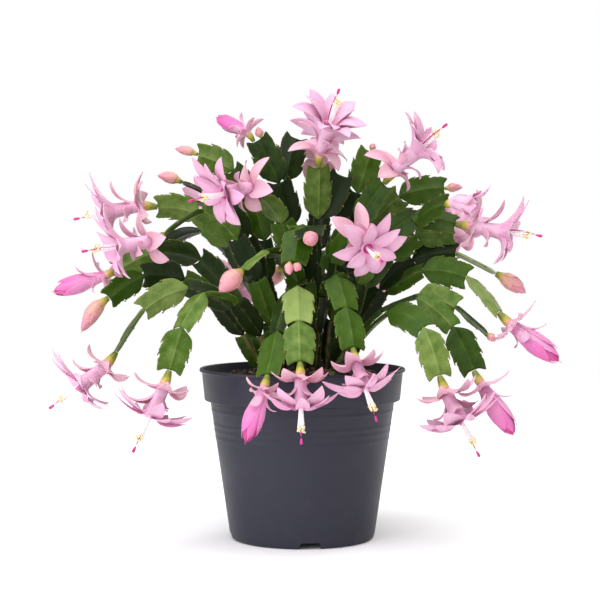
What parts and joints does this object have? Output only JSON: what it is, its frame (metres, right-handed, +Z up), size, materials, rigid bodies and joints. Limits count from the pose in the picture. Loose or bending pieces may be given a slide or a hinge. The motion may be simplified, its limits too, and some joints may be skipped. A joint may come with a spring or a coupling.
{
  "type": "potted christmas cactus",
  "caption": "Potted holiday cactus in bloom: arching stems of flat toothed segments with layered pink flowers and buds at their tips, in a tapered grey nursery pot.",
  "frame": {"origin": "middle of the pot's foot, on the surface the pot stands on", "axes": "+Z up, out of the pot; +X along the plant's longest spread, to the right as seen from its front; +Y from the front of the plant to its back"},
  "size_m": [0.3195, 0.2244, 0.2857],
  "materials": {
    "pot": "satin moulded polypropylene",
    "soil": "loose dark peat mix",
    "leaf": "waxy fleshy green",
    "petal": "silky translucent pale pink",
    "bud": "smooth waxy peach pink"
  },
  "bodies": {
    "root": {"bloom_back_1": "petal", "bloom_back_left_1": "petal", "bloom_back_left_2": "petal", "bloom_back_right_1": "petal", "bloom_back_right_2": "petal", "bloom_back_upper_1": "petal", "bloom_back_upper_2": "petal", "bloom_front_1": "petal", "bloom_front_2": "petal", "bloom_front_right_1": "petal", "bloom_front_right_2": "petal", "bloom_left_low_1": "petal", "bloom_left_low_2": "petal", "bloom_left_mid_1": "petal", "bloom_left_upper_1": "petal", "bloom_left_upper_2": "petal", "bloom_right_1": "petal", "bloom_right_2": "petal", "bloom_right_low_1": "petal", "bloom_right_low_2": "petal", "bloom_right_mid_1": "petal", "bloom_right_upper_1": "petal", "bloom_top_1": "petal", "bloom_top_2": "petal", "bloom_top_right_1": "petal", "bud_back_1": "bud", "bud_front_inner_1": "bud", "bud_front_inner_2": "bud", "bud_front_inner_3": "bud", "bud_front_inner_4": "bud", "bud_left_mid_1": "bud", "bud_right_low_1": "bud", "bud_right_mid_1": "bud", "bud_right_upper_1": "bud", "bud_top_1": "bud", "bud_top_left_1": "bud", "bud_top_left_2": "bud", "bud_top_left_3": "bud", "bud_top_right_1": "bud", "pot": "pot", "soil": "soil", "stem_back": "leaf", "stem_back_left": "leaf", "stem_back_right": "leaf", "stem_back_upper": "leaf", "stem_front": "leaf", "stem_front_inner": "leaf", "stem_front_right": "leaf", "stem_left_low": "leaf", "stem_left_mid": "leaf", "stem_left_upper": "leaf", "stem_right": "leaf", "stem_right_low": "leaf", "stem_right_mid": "leaf", "stem_right_upper": "leaf", "stem_top": "leaf", "stem_top_left": "leaf", "stem_top_right": "leaf"}
  },
  "joints": []
}
